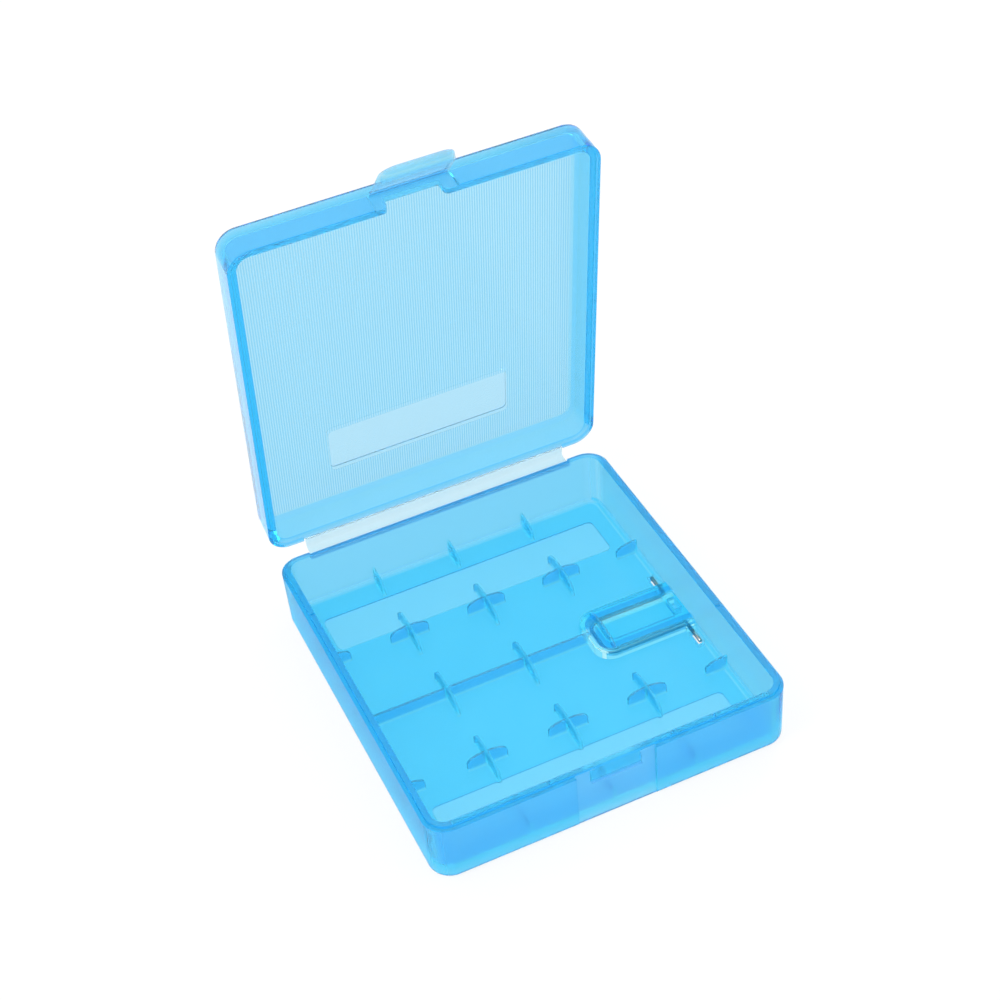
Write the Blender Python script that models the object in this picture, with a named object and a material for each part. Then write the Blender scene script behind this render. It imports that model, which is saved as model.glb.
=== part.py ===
"""Hinged storage case for small round cells: tray, lid, film hinge, latch flap and folding wire bail.

Lengths are in metres. X runs along the hinge, Y from the front to the hinge side, Z up, and the origin
is the middle of the tray's underside. The lid stands open at its resting angle.
"""
import math

import bmesh
import bpy
from mathutils import Vector

# Driving sizes of the case
case_width = 0.0760          # along the hinge
case_depth = 0.0834          # front to back
ledge_height = 0.0140        # tray's outer ledge above the table
lid_rise = 0.0087            # lid's outer face above the ledge when shut
wall = 0.0020                # tray and lid wall
floor_thickness = 0.0016
panel = 0.0015               # lid panel
corner_radius = 0.0048       # upright outer corners
edge_radius = 0.0015         # outer edge round the underside and round the lid panel
fillet_radius = 0.0010       # inside, where wall meets floor
wall_draft = 0.0002          # lean of the outer wall over its height

# Rim: a raised inner lip on the tray that the lid's recessed land sits over
lip_rise = 0.0006
ledge_width = 0.0008
rim_gap = 0.0003             # air between tray and lid when shut, and round every separate leaf
lip_clearance = 0.0001
lid_lip_width = ledge_width - lip_clearance

# Dividers: a grid of low blades, four columns by four rows
column_pitch = 0.01765
row_pitch = 0.01972
blade_thickness = 0.0008
long_crest = 0.0039          # height over the floor of the blades along Y, at the middle of a cross
cross_crest = 0.0036         # and of the blades along X
fin_crest = 0.0038           # half blades on the front and back walls, where they meet the wall
tab_crest = 0.0034           # half blades on the side walls
long_reach = 0.00585         # middle of a cross to the end of a blade along Y
cross_reach = 0.0043
tab_reach = 0.0049
middle_rib_height = 0.0030
weld = 0.0006                # how far an added form reaches into what carries it
long_crest_share = ((0.0, 1.0), (0.35, 0.985), (0.60, 0.92), (0.80, 0.80), (0.93, 0.67), (1.0, 0.56))
cross_crest_share = ((0.0, 1.0), (0.30, 0.98), (0.55, 0.93), (0.75, 0.84), (0.92, 0.71), (1.0, 0.58))

# Wire bail, folded into a channel under the floor
wire_radius = 0.0004
wire_height = 0.0016         # wire's middle above the underside
wire_gap = 0.0003            # air round the wire in its channel
leg_offset = 0.0046          # each leg from the middle
pivot_inset = 0.0032         # pivots from the outer side wall
bail_length = 0.0184         # pivots to the loop end
pivot_end_reach = 0.0108     # end of each bent-out pivot from the middle
bend_radius = 0.0024
elbow_radius = 0.0007
bearing_clearance = 0.0001
boss_rise = 0.0020           # raised cover over the channel
boss_wall = 0.0008           # cover beyond the channel at the loop
boss_side = 0.0014           # and beside the legs
island_gap = 0.0007          # plastic between channel and the sunk middle
tip_room = 0.0007            # extra room at the bail's loop end for a fingernail
channel_run_out = 0.0019     # channel past the pivot, so the bail can swing out
lug_length = 0.0013
lug_thickness = 0.0005
lug_rise = 0.0012
slot_half_width = 0.00075
slot_end_room = 0.0005
window_length = 0.0017
window_half_width = 0.0017
window_skin = 0.0010
frame_length = 0.0030        # solid bar between the bearings

# Shallow panels in the underside
pad_side_margin = 0.0060
pad_end_margin = 0.0074
pad_width = 0.0102
pad_depth = 0.0003

# Latch: recess down the front, catch on the tray, notch and flap on the lid
recess_half_width = 0.0084
recess_depth = 0.0008
catch_half_width = 0.0053
catch_foot = 0.0110          # catch's hooked underside above the table
catch_height = 0.0029
catch_reach = 0.00075
notch_half_width = 0.0057
notch_head = 0.0041          # top of the notch above the ledge
notch_radius = 0.0013
flap_axis_height = 0.0045    # flap's film hinge above the ledge
flap_axis_out = 0.0002       # and in front of the lid's wall
flap_thickness = 0.0008
flap_half_width = 0.0081
flap_face_half_width = 0.0076    # at the outer face
flap_length = 0.0120
flap_corner_radius = 0.0032
flap_edge = 0.00025          # what the bevel leaves of the flap's free edge
bevel_length = 0.0025
recess_over_axis = 0.0007
hook_half_width = 0.0072
hook_reach = 0.00075
hook_crest = 0.0006
hook_slope = 0.0011          # length of the hook's lead-in

# Label pocket in the lid's outer face
label_side_margin = 0.0175
label_end_margin = 0.0106    # from the hinge wall
label_height = 0.0118
label_depth = 0.0002
label_radius = 0.0012

# Film hinge between tray and lid
strap_margin = 0.0078        # strap end from the side wall
strap_reach = 0.0017         # fold line behind the rim
leaf_root = 0.0005           # how far a leaf lies over the ledge
leaf_thickness = 0.00045
fold_thickness = 0.00030
leaf_stack_gap = 0.0003

# Resting and working angles, in degrees
lid_open = 81.6
flap_open = 57.0

crease_angle = 35            # edges sharper than this stay creased
corner_steps = 8
fillet_steps = 4
wire_sides = 12
bend_steps = 8
cutter_over = 0.0040         # how far cutters run past what they cut

half_width = case_width / 2
half_depth = case_depth / 2
lid_top = ledge_height + lid_rise
lip_top = ledge_height + lip_rise
lid_rim = ledge_height + rim_gap
lid_land = lip_top + rim_gap
inside_x = half_width - wall
inside_y = half_depth - wall
recess_plane = -half_depth + recess_depth
bail_pivot_x = half_width - pivot_inset
bail_tip_x = bail_pivot_x - bail_length
pad_half_length = half_width - pad_side_margin
pad_far = half_depth - pad_end_margin
pad_near = pad_far - pad_width
label_half_width = half_width - label_side_margin
label_far = half_depth - label_end_margin
label_near = label_far - label_height
strap_half_width = half_width - strap_margin
fold_y = half_depth + strap_reach
fold_z = ledge_height
flap_axis_y = -half_depth - flap_axis_out
flap_axis_z = ledge_height + flap_axis_height
boss_top = floor_thickness + boss_rise
channel_half = wire_radius + wire_gap
channel_top = wire_height + wire_radius + wire_gap
outer_leg = leg_offset + channel_half
inner_leg = leg_offset - channel_half
boss_half = outer_leg + boss_side
island_half = inner_leg - island_gap
channel_tip = bail_tip_x - channel_half - tip_room
boss_tip = channel_tip - boss_wall
island_tip = bail_tip_x + channel_half + island_gap


def clear_scene():
    """Remove what the file starts with."""
    for thing in list(bpy.data.objects):
        bpy.data.objects.remove(thing, do_unlink=True)


def plastic(name, colour, roughness):
    """Plain plastic material."""
    material = bpy.data.materials.new(name)
    material.use_nodes = True
    shader = material.node_tree.nodes["Principled BSDF"]
    shader.inputs["Base Color"].default_value = colour
    shader.inputs["Roughness"].default_value = roughness
    shader.inputs["Metallic"].default_value = 0.0
    material.diffuse_color = colour
    return material


def steel(name):
    """Drawn steel wire."""
    material = plastic(name, (0.62, 0.62, 0.60, 1.0), 0.28)
    material.node_tree.nodes["Principled BSDF"].inputs["Metallic"].default_value = 1.0
    return material


def arc(centre, radius, start, end, steps):
    """Points on an arc, both ends included."""
    points = []
    for step in range(steps + 1):
        angle = math.radians(start + (end - start) * step / steps)
        points.append((centre[0] + radius * math.cos(angle), centre[1] + radius * math.sin(angle)))
    return points


def rounded_outline(half_x, half_y, radius):
    """Rounded rectangle round the middle, anticlockwise."""
    x = half_x - radius
    y = half_y - radius
    points = arc((x, y), radius, 0, 90, corner_steps)
    points += arc((-x, y), radius, 90, 180, corner_steps)
    points += arc((-x, -y), radius, 180, 270, corner_steps)
    points += arc((x, -y), radius, 270, 360, corner_steps)
    return points


def case_ring(inset, z):
    """Ring of the case's outline at one inset and height."""
    radius = max(corner_radius - inset, corner_radius / 3)
    outline = rounded_outline(half_width - inset, half_depth - inset, radius)
    return [Vector((x, y, z)) for x, y in outline]


def link_mesh(name, mesh_data, material):
    """Wrap a bmesh in an object, with its round faces smooth."""
    bmesh.ops.recalc_face_normals(mesh_data, faces=mesh_data.faces[:])
    mesh = bpy.data.meshes.new(name)
    mesh_data.to_mesh(mesh)
    mesh_data.free()
    mesh.shade_smooth()
    mesh.set_sharp_from_angle(angle=math.radians(crease_angle))
    thing = bpy.data.objects.new(name, mesh)
    bpy.context.scene.collection.objects.link(thing)
    if material is not None:
        thing.data.materials.append(material)
    return thing


def add_rings(mesh_data, rings):
    """Closed body through a list of rings with equal counts."""
    layers = [[mesh_data.verts.new(point) for point in ring] for ring in rings]
    count = len(rings[0])
    for low, high in zip(layers, layers[1:]):
        for index in range(count):
            after = (index + 1) % count
            mesh_data.faces.new((low[index], low[after], high[after], high[index]))
    mesh_data.faces.new(layers[0])
    mesh_data.faces.new(layers[-1])


def add_prism(mesh_data, outline, axis, low, high):
    """Outline swept straight along one axis. Outline order is the two other axes, in X, Y, Z order."""
    def place(point, along):
        values = list(point)
        values.insert("XYZ".index(axis), along)
        return Vector(values)
    add_rings(mesh_data, [[place(p, low) for p in outline], [place(p, high) for p in outline]])


def box_outline(low_a, high_a, low_b, high_b):
    """Plain rectangle as an outline."""
    return [(low_a, low_b), (high_a, low_b), (high_a, high_b), (low_a, high_b)]


def tool(name, mesh_data):
    """Hidden body that a Boolean reads."""
    thing = link_mesh(name, mesh_data, None)
    thing.hide_render = True
    thing.display_type = "WIRE"
    return thing


def combine(body, other, operation):
    """Exact Boolean left on the body."""
    modifier = body.modifiers.new(other.name, "BOOLEAN")
    modifier.operation = operation
    modifier.solver = "EXACT"
    modifier.object = other


def tray_rings():
    """Tray wall, rim and floor as one stack of rings."""
    rings = []
    for step in range(fillet_steps + 1):
        angle = math.radians(90 * step / fillet_steps)
        inset = wall_draft + edge_radius * (1 - math.sin(angle))
        rings.append(case_ring(inset, edge_radius * (1 - math.cos(angle))))
    rings.append(case_ring(0, ledge_height))
    rings.append(case_ring(ledge_width, ledge_height))
    rings.append(case_ring(ledge_width, lip_top))
    rings.append(case_ring(wall, lip_top))
    for step in range(fillet_steps + 1):
        angle = math.radians(90 * step / fillet_steps)
        inset = wall + fillet_radius * (1 - math.cos(angle))
        rings.append(case_ring(inset, floor_thickness + fillet_radius * (1 - math.sin(angle))))
    return rings


def crest_profile(reach, crest, shares, both_ways):
    """Outline of one blade: reach along the floor against height."""
    root = floor_thickness - weld
    side = [(share * reach, floor_thickness + level * crest) for share, level in shares]
    points = [(reach, root)] + list(reversed(side))
    if both_ways:
        points += [(-u, h) for u, h in side[1:]]
        points.append((-reach, root))
    else:
        points += [(-weld, floor_thickness + crest), (-weld, root)]
    return points


def grid_places():
    """Crossing points of the divider grid."""
    return [(column * column_pitch, row * row_pitch) for column in (-1, 0, 1) for row in (-1, 0, 1)]


def blades_front_to_back():
    """Blades that run along Y, one mesh of separate bodies."""
    mesh_data = bmesh.new()
    half = blade_thickness / 2
    for x, y in grid_places():
        profile = crest_profile(long_reach, long_crest, long_crest_share, True)
        outline = [(y + u, h) for u, h in profile]
        add_prism(mesh_data, outline, "X", x - half, x + half)
    for column in (-1, 0, 1):
        x = column * column_pitch
        for side in (-1, 1):
            profile = crest_profile(long_reach, fin_crest, long_crest_share, False)
            outline = [(side * (inside_y - u), h) for u, h in profile]
            add_prism(mesh_data, outline, "X", x - half, x + half)
    return tool("blades_y", mesh_data)


def blades_side_to_side():
    """Blades that run along X and the low middle rib."""
    mesh_data = bmesh.new()
    half = blade_thickness / 2
    for x, y in grid_places():
        if y == 0:
            continue
        profile = crest_profile(cross_reach, cross_crest, cross_crest_share, True)
        outline = [(x + u, h) for u, h in profile]
        add_prism(mesh_data, outline, "Y", y - half, y + half)
    for row in (-1, 1):
        y = row * row_pitch
        for side in (-1, 1):
            profile = crest_profile(tab_reach, tab_crest, cross_crest_share, False)
            outline = [(side * (inside_x - u), h) for u, h in profile]
            add_prism(mesh_data, outline, "Y", y - half, y + half)
    top = floor_thickness + middle_rib_height
    rib = box_outline(-inside_x - weld, boss_tip + boss_wall, floor_thickness - weld, top)
    add_prism(mesh_data, rib, "Y", -half, half)
    return tool("blades_x", mesh_data)


def u_end_outline(tip, half, right, radius):
    """Outline with rounded corners at the tip and a square right end."""
    x = tip + radius
    y = half - radius
    points = [(right, -half), (right, half)]
    points += arc((x, y), radius, 90, 180, corner_steps)
    points += arc((x, -y), radius, 180, 270, corner_steps)
    return points


def bail_boss():
    """Raised cover over the wire channel and the bearing lugs."""
    mesh_data = bmesh.new()
    right = inside_x + weld
    radius = bend_radius + channel_half + boss_wall
    outline = u_end_outline(boss_tip, boss_half, right, radius)
    add_prism(mesh_data, outline, "Z", floor_thickness - weld, boss_top)
    return tool("bail_boss", mesh_data)


def bearing_lugs():
    """Small raised pads over the two bearings."""
    mesh_data = bmesh.new()
    left = bail_pivot_x - lug_length
    for side in (-1, 1):
        edges = sorted((side * (boss_half - weld), side * (boss_half + lug_thickness)))
        outline = box_outline(left, inside_x + weld, *edges)
        add_prism(mesh_data, outline, "Z", floor_thickness - weld, floor_thickness + lug_rise)
    return tool("bearing_lugs", mesh_data)


def island_cut():
    """Sunk middle between the legs, down to the floor."""
    mesh_data = bmesh.new()
    right = inside_x - frame_length
    outline = u_end_outline(island_tip, island_half, right, bend_radius - channel_half)
    add_prism(mesh_data, outline, "Z", floor_thickness, boss_top + cutter_over)
    return tool("island_cut", mesh_data)


def window_cut():
    """Thin window in the bar between the bearings."""
    mesh_data = bmesh.new()
    middle = inside_x - frame_length / 2
    outline = box_outline(middle - window_length / 2, middle + window_length / 2,
                          -window_half_width, window_half_width)
    add_prism(mesh_data, outline, "Z", window_skin, boss_top + cutter_over)
    return tool("window_cut", mesh_data)


def channel_cut():
    """Channel for the wire, open underneath."""
    mesh_data = bmesh.new()
    right = bail_pivot_x + channel_run_out
    outer_radius = bend_radius + channel_half
    inner_radius = bend_radius - channel_half
    outer = u_end_outline(channel_tip, outer_leg, right, outer_radius)
    inner = u_end_outline(bail_tip_x + channel_half, inner_leg, right, inner_radius)
    outline = outer[1:] + [outer[0]] + [inner[0]] + list(reversed(inner[1:]))
    add_prism(mesh_data, outline, "Z", -cutter_over, channel_top)
    return tool("channel_cut", mesh_data)


def pivot_slots_cut():
    """Slots through the floor where the bent-out ends lie."""
    mesh_data = bmesh.new()
    for side in (-1, 1):
        edges = sorted((side * (boss_half + lug_thickness), side * (pivot_end_reach + slot_end_room)))
        outline = box_outline(bail_pivot_x - slot_half_width, bail_pivot_x + slot_half_width, *edges)
        add_prism(mesh_data, outline, "Z", -cutter_over, boss_top + cutter_over)
    return tool("pivot_slots", mesh_data)


def bearing_cut():
    """Round bearings through the lugs."""
    mesh_data = bmesh.new()
    radius = (wire_radius + bearing_clearance) / math.cos(math.pi / (4 * corner_steps))
    circle = arc((bail_pivot_x, wire_height), radius, 0, 360, 4 * corner_steps)[:-1]
    for side in (-1, 1):
        low, high = sorted((side * leg_offset, side * (boss_half + lug_thickness + weld)))
        add_prism(mesh_data, circle, "Y", low, high)
    return tool("bearings", mesh_data)


def pads_cut():
    """Two long shallow panels in the underside."""
    mesh_data = bmesh.new()
    middle = (pad_near + pad_far) / 2
    half = (pad_far - pad_near) / 2
    for side in (-1, 1):
        outline = rounded_outline(pad_half_length, half, label_radius)
        outline = [(x, y + side * middle) for x, y in outline]
        add_prism(mesh_data, outline, "Z", -cutter_over, pad_depth)
    return tool("pads", mesh_data)


def front_recess_cut(name, low, high):
    """Slab that takes the latch recess out of a front wall."""
    mesh_data = bmesh.new()
    outline = box_outline(-recess_half_width, recess_half_width, -half_depth - cutter_over, recess_plane)
    add_prism(mesh_data, outline, "Z", low, high)
    return tool(name, mesh_data)


def catch():
    """Wedge catch under the rim, with a shallow groove that leaves two ridges."""
    mesh_data = bmesh.new()
    root = recess_plane + weld
    face = recess_plane - catch_reach
    groove = catch_height / 8
    top = catch_foot + catch_height
    profile = [(root, catch_foot), (face, catch_foot), (face, catch_foot + groove),
               (face + groove, catch_foot + 2 * groove), (face, catch_foot + 3 * groove),
               (face, catch_foot + 5 * groove), (recess_plane, top), (root, top)]
    add_prism(mesh_data, profile, "X", -catch_half_width, catch_half_width)
    return tool("catch", mesh_data)


def leaf_seat_cut(name, low, high):
    """Seat that the film hinge's leaf lies in."""
    mesh_data = bmesh.new()
    side = strap_half_width + rim_gap
    outline = box_outline(-side, side, half_depth - ledge_width, half_depth + cutter_over)
    add_prism(mesh_data, outline, "Z", low, high)
    return tool(name, mesh_data)


def make_tray(material):
    """Tray with its dividers, catch, bail channel and leaf seat."""
    mesh_data = bmesh.new()
    add_rings(mesh_data, tray_rings())
    tray = link_mesh("tray_shell", mesh_data, material)
    combine(tray, bail_boss(), "UNION")
    combine(tray, island_cut(), "DIFFERENCE")
    combine(tray, bearing_lugs(), "UNION")
    combine(tray, blades_front_to_back(), "UNION")
    combine(tray, blades_side_to_side(), "UNION")
    combine(tray, front_recess_cut("tray_recess", -cutter_over, lid_top), "DIFFERENCE")
    combine(tray, catch(), "UNION")
    combine(tray, channel_cut(), "DIFFERENCE")
    combine(tray, pivot_slots_cut(), "DIFFERENCE")
    combine(tray, bearing_cut(), "DIFFERENCE")
    combine(tray, window_cut(), "DIFFERENCE")
    combine(tray, pads_cut(), "DIFFERENCE")
    seat_floor = fold_z - leaf_stack_gap / 2 - leaf_thickness - rim_gap
    combine(tray, leaf_seat_cut("tray_leaf_seat", seat_floor, lid_top), "DIFFERENCE")
    return tray


def lid_rings():
    """Lid panel, wall and rebated rim as one stack of rings, as it sits when shut."""
    rings = []
    for step in range(fillet_steps + 1):
        angle = math.radians(90 * step / fillet_steps)
        inset = wall_draft + edge_radius * (1 - math.sin(angle))
        rings.append(case_ring(inset, lid_top - edge_radius * (1 - math.cos(angle))))
    rings.append(case_ring(0, lid_rim))
    rings.append(case_ring(lid_lip_width, lid_rim))
    rings.append(case_ring(lid_lip_width, lid_land))
    rings.append(case_ring(wall, lid_land))
    ceiling = lid_top - panel
    for step in range(fillet_steps + 1):
        angle = math.radians(90 * step / fillet_steps)
        inset = wall + fillet_radius * (1 - math.cos(angle))
        rings.append(case_ring(inset, ceiling - fillet_radius * (1 - math.sin(angle))))
    return rings


def notch_cut():
    """Opening through the lid's front wall behind the flap, with its mouth's corners rounded."""
    mesh_data = bmesh.new()
    mouth = notch_half_width + notch_radius
    low = ledge_height - cutter_over
    turn = lid_land + notch_radius
    right = arc((mouth, turn), notch_radius, 270, 180, corner_steps)
    outline = [(-mouth, low), (mouth, low)] + right
    outline += [(notch_half_width, ledge_height + notch_head), (-notch_half_width, ledge_height + notch_head)]
    outline += [(-x, z) for x, z in reversed(right)]
    add_prism(mesh_data, outline, "Y", -half_depth - cutter_over, -inside_y + fillet_radius / 2)
    return tool("notch", mesh_data)


def label_cut():
    """Shallow label pocket in the lid's outer face."""
    mesh_data = bmesh.new()
    middle = (label_near + label_far) / 2
    outline = rounded_outline(label_half_width, (label_far - label_near) / 2, label_radius)
    outline = [(x, y + middle) for x, y in outline]
    add_prism(mesh_data, outline, "Z", lid_top - label_depth, lid_top + cutter_over)
    return tool("label", mesh_data)


def drop_to(thing, y, z):
    """Make the line (y, z) the origin of a mesh that was built as shut."""
    for vertex in thing.data.vertices:
        vertex.co.y -= y
        vertex.co.z -= z


def make_lid(material, hinge):
    """Lid, hung on the fold line."""
    mesh_data = bmesh.new()
    add_rings(mesh_data, lid_rings())
    lid = link_mesh("lid_shell", mesh_data, material)
    recess_top = flap_axis_z + recess_over_axis
    tools = [front_recess_cut("lid_recess", ledge_height - cutter_over, recess_top), notch_cut(), label_cut()]
    seat_ceiling = max(lid_land, fold_z + leaf_stack_gap / 2 + leaf_thickness + rim_gap)
    tools.append(leaf_seat_cut("lid_leaf_seat", ledge_height - cutter_over, seat_ceiling))
    for thing in [lid] + tools:
        drop_to(thing, fold_y, fold_z)
        thing.parent = hinge
    for cutter in tools:
        combine(lid, cutter, "DIFFERENCE")
    return lid


def leaf_profile(side):
    """Cross-section of one leaf. Side is -1 for the tray's leaf and +1 for the lid's."""
    near = half_depth - leaf_root
    far = fold_y - rim_gap / 2
    mid = half_depth + leaf_root
    face = fold_z + side * leaf_stack_gap / 2
    return [(near, face), (far, face), (far, face + side * fold_thickness),
            (mid, face + side * leaf_thickness), (near, face + side * leaf_thickness)]


def make_leaf(name, side, material):
    """One leaf of the film hinge."""
    mesh_data = bmesh.new()
    add_prism(mesh_data, leaf_profile(side), "X", -strap_half_width, strap_half_width)
    return link_mesh(name, mesh_data, material)


def flap_ring(half_x, length, y):
    """Outline of the flap hanging straight down from its axis, rounded at the free end."""
    x = half_x - flap_corner_radius
    z = flap_corner_radius - length
    points = [(half_x, -rim_gap), (-half_x, -rim_gap)]
    points += arc((-x, z), flap_corner_radius, 180, 270, corner_steps)
    points += arc((x, z), flap_corner_radius, 270, 360, corner_steps)
    return [Vector((px, y, pz)) for px, pz in points]


def flap_hook():
    """Hook on the flap's inner face that goes under the catch."""
    mesh_data = bmesh.new()
    root = -flap_thickness / 2
    top = catch_foot - rim_gap - flap_axis_z
    crest = top - hook_crest
    foot = crest - hook_slope * (hook_reach - root) / hook_reach
    profile = [(root, top), (hook_reach, top), (hook_reach, crest), (root, foot)]
    add_prism(mesh_data, profile, "X", -hook_half_width, hook_half_width)
    return tool("hook", mesh_data)


def make_flap(material, hinge):
    """Latch flap on its own film hinge."""
    mesh_data = bmesh.new()
    rings = [flap_ring(flap_face_half_width, flap_length, -flap_thickness),
             flap_ring(flap_face_half_width, flap_length, flap_edge - flap_thickness),
             flap_ring(flap_half_width, flap_length - bevel_length, 0)]
    add_rings(mesh_data, rings)
    flap = link_mesh("latch_flap", mesh_data, material)
    hook = flap_hook()
    flap.parent = hinge
    hook.parent = hinge
    combine(flap, hook, "UNION")
    return flap


def bail_path():
    """Middle line of the wire from the pivot: bent-out end, leg, loop, leg, bent-out end."""
    tip = bail_tip_x - bail_pivot_x
    loop = arc((tip + bend_radius, leg_offset - bend_radius), bend_radius, 90, 180, bend_steps)
    elbow = arc((-elbow_radius, leg_offset + elbow_radius), elbow_radius, 0, -90, bend_steps)
    half = [(0, pivot_end_reach)] + elbow + loop
    return half + [(x, -y) for x, y in reversed(half)]


def make_bail(material):
    """Wire bail as a round sweep."""
    path = bail_path()
    rings = []
    for index, point in enumerate(path):
        before = path[max(index - 1, 0)]
        after = path[min(index + 1, len(path) - 1)]
        along = Vector((after[0] - before[0], after[1] - before[1]))
        along.normalize()
        ring = []
        for step in range(wire_sides):
            angle = 2 * math.pi * step / wire_sides
            side = wire_radius * math.cos(angle)
            ring.append(Vector((point[0] - along.y * side, point[1] + along.x * side,
                                wire_radius * math.sin(angle))))
        rings.append(ring)
    mesh_data = bmesh.new()
    add_rings(mesh_data, rings)
    bail = link_mesh("wire_bail", mesh_data, material)
    bail.location = (bail_pivot_x, 0, wire_height)
    return bail


def hinge_empty(name, location, degrees, parent):
    """Empty on a hinge axis, turned to the resting angle."""
    empty = bpy.data.objects.new(name, None)
    bpy.context.scene.collection.objects.link(empty)
    empty.parent = parent
    empty.location = location
    empty.rotation_euler = (-math.radians(degrees), 0, 0)
    return empty


def main():
    clear_scene()
    blue = (0.36, 0.72, 0.95, 1.0)
    make_tray(plastic("tray_plastic", blue, 0.25))
    make_leaf("hinge_leaf_tray", -1, plastic("tray_leaf_plastic", blue, 0.35))
    make_bail(steel("bail_steel"))
    lid_hinge = hinge_empty("lid_fold", (0, fold_y, fold_z), lid_open, None)
    make_lid(plastic("lid_plastic", blue, 0.25), lid_hinge)
    lid_leaf = make_leaf("hinge_leaf_lid", 1, plastic("lid_leaf_plastic", blue, 0.35))
    drop_to(lid_leaf, fold_y, fold_z)
    lid_leaf.parent = lid_hinge
    place = (0, flap_axis_y - fold_y, flap_axis_z - fold_z)
    flap_hinge = hinge_empty("flap_fold", place, flap_open, lid_hinge)
    make_flap(plastic("flap_plastic", blue, 0.25), flap_hinge)


main()
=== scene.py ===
"""Looks of the hinged cell case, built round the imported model. Lengths are in metres."""
import math

import bmesh
import bpy
from mathutils import Matrix, Vector


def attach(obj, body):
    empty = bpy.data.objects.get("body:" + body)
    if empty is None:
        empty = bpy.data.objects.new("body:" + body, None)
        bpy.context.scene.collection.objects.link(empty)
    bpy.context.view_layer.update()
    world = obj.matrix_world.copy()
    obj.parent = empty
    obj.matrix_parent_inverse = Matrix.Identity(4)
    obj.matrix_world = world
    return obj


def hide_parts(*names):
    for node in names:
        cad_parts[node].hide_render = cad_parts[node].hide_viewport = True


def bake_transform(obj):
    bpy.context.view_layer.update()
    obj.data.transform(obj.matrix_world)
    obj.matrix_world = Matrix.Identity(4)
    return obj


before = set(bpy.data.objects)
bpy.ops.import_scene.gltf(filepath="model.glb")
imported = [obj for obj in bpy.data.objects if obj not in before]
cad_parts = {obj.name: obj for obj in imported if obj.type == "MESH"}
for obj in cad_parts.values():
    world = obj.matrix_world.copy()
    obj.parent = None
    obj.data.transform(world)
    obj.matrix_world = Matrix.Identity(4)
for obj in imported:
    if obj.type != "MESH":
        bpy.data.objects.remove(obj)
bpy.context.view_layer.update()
mm = 0.001

# Sizes shared with the solids
half_x, half_y = 38.0 * mm, 41.7 * mm
corner = 4.8 * mm
ledge_z, lip_z = 14.0 * mm, 14.6 * mm
ledge_in = 0.8 * mm
wall = 2.0 * mm
floor_z = 1.6 * mm
lid_top = 22.7 * mm
lid_rim = 14.3 * mm
lid_land = 14.9 * mm
panel = 1.5 * mm
fold_y, fold_z = 43.4 * mm, 14.0 * mm
lid_open = math.radians(81.6)
flap_open = math.radians(57.0)
flap_y, flap_z = -41.9 * mm, 18.5 * mm
column_pitch, row_pitch = 17.65 * mm, 19.72 * mm
pivot_x, tip_x, leg_y = 34.8 * mm, 16.4 * mm, 4.6 * mm
wire_z, wire_r = 1.6 * mm, 0.4 * mm
strap_half = 30.2 * mm
seat_half = 30.5 * mm

# Recess of the latch in both front walls
recess_half, recess_y = 8.4 * mm, -40.9 * mm

# Far ends of the cutting bodies, which only have to lie outside the case
far_y, far_up, far_down = 50 * mm, 30 * mm, -4 * mm

# Rounds of the mouldings
foot_round, foot_inset = 1.5 * mm, 0.2 * mm
edge_round = 0.14 * mm

lid_place = (Matrix.Translation((0, fold_y, fold_z)) @ Matrix.Rotation(-lid_open, 4, "X")
             @ Matrix.Translation((0, -fold_y, -fold_z)))
flap_place = (lid_place @ Matrix.Translation((0, flap_y, flap_z)) @ Matrix.Rotation(-flap_open, 4, "X"))


def arc(cx, cy, radius, start, end, steps):
    """Points on an arc, both ends included."""
    return [(cx + radius * math.cos(math.radians(start + (end - start) * i / steps)),
             cy + radius * math.sin(math.radians(start + (end - start) * i / steps)))
            for i in range(steps + 1)]


def rounded(hx, hy, radius, steps):
    """Rounded rectangle, anticlockwise."""
    x, y = hx - radius, hy - radius
    return (arc(x, y, radius, 0, 90, steps) + arc(-x, y, radius, 90, 180, steps)
            + arc(-x, -y, radius, 180, 270, steps) + arc(x, -y, radius, 270, 360, steps))


def case_ring(inset, z):
    """Ring of the case's outline."""
    radius = max(corner - inset, 1.2 * mm)
    return [Vector((x, y, z)) for x, y in rounded(half_x - inset, half_y - inset, radius, 20)]


def stack(bm, rings):
    """Closed body through rings with equal counts."""
    layers = [[bm.verts.new(p) for p in ring] for ring in rings]
    count = len(rings[0])
    for low, high in zip(layers, layers[1:]):
        for i in range(count):
            j = (i + 1) % count
            bm.faces.new((low[i], low[j], high[j], high[i]))
    bm.faces.new(layers[0])
    bm.faces.new(layers[-1])


def prism(bm, outline, axis, low, high):
    """Outline swept along one axis. Its points hold the two other axes in the order X, Y, Z."""
    def place(point, along):
        values = list(point)
        values.insert("XYZ".index(axis), along)
        return Vector(values)
    stack(bm, [[place(p, low) for p in outline], [place(p, high) for p in outline]])


def box(a0, a1, b0, b1):
    """Outline of a rectangle from its limits along two axes."""
    return [(a0, b0), (a1, b0), (a1, b1), (a0, b1)]


def make(name, bm):
    """Object from a bmesh, faces outward."""
    bmesh.ops.recalc_face_normals(bm, faces=bm.faces[:])
    mesh = bpy.data.meshes.new(name)
    bm.to_mesh(mesh)
    bm.free()
    thing = bpy.data.objects.new(name, mesh)
    bpy.context.scene.collection.objects.link(thing)
    return thing


def join(body, other, operation):
    """Boolean that is applied at once."""
    modifier = body.modifiers.new("cut", "BOOLEAN")
    modifier.operation = operation
    modifier.solver = "EXACT"
    modifier.object = other
    settle(body)
    bpy.data.objects.remove(other, do_unlink=True)


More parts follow.
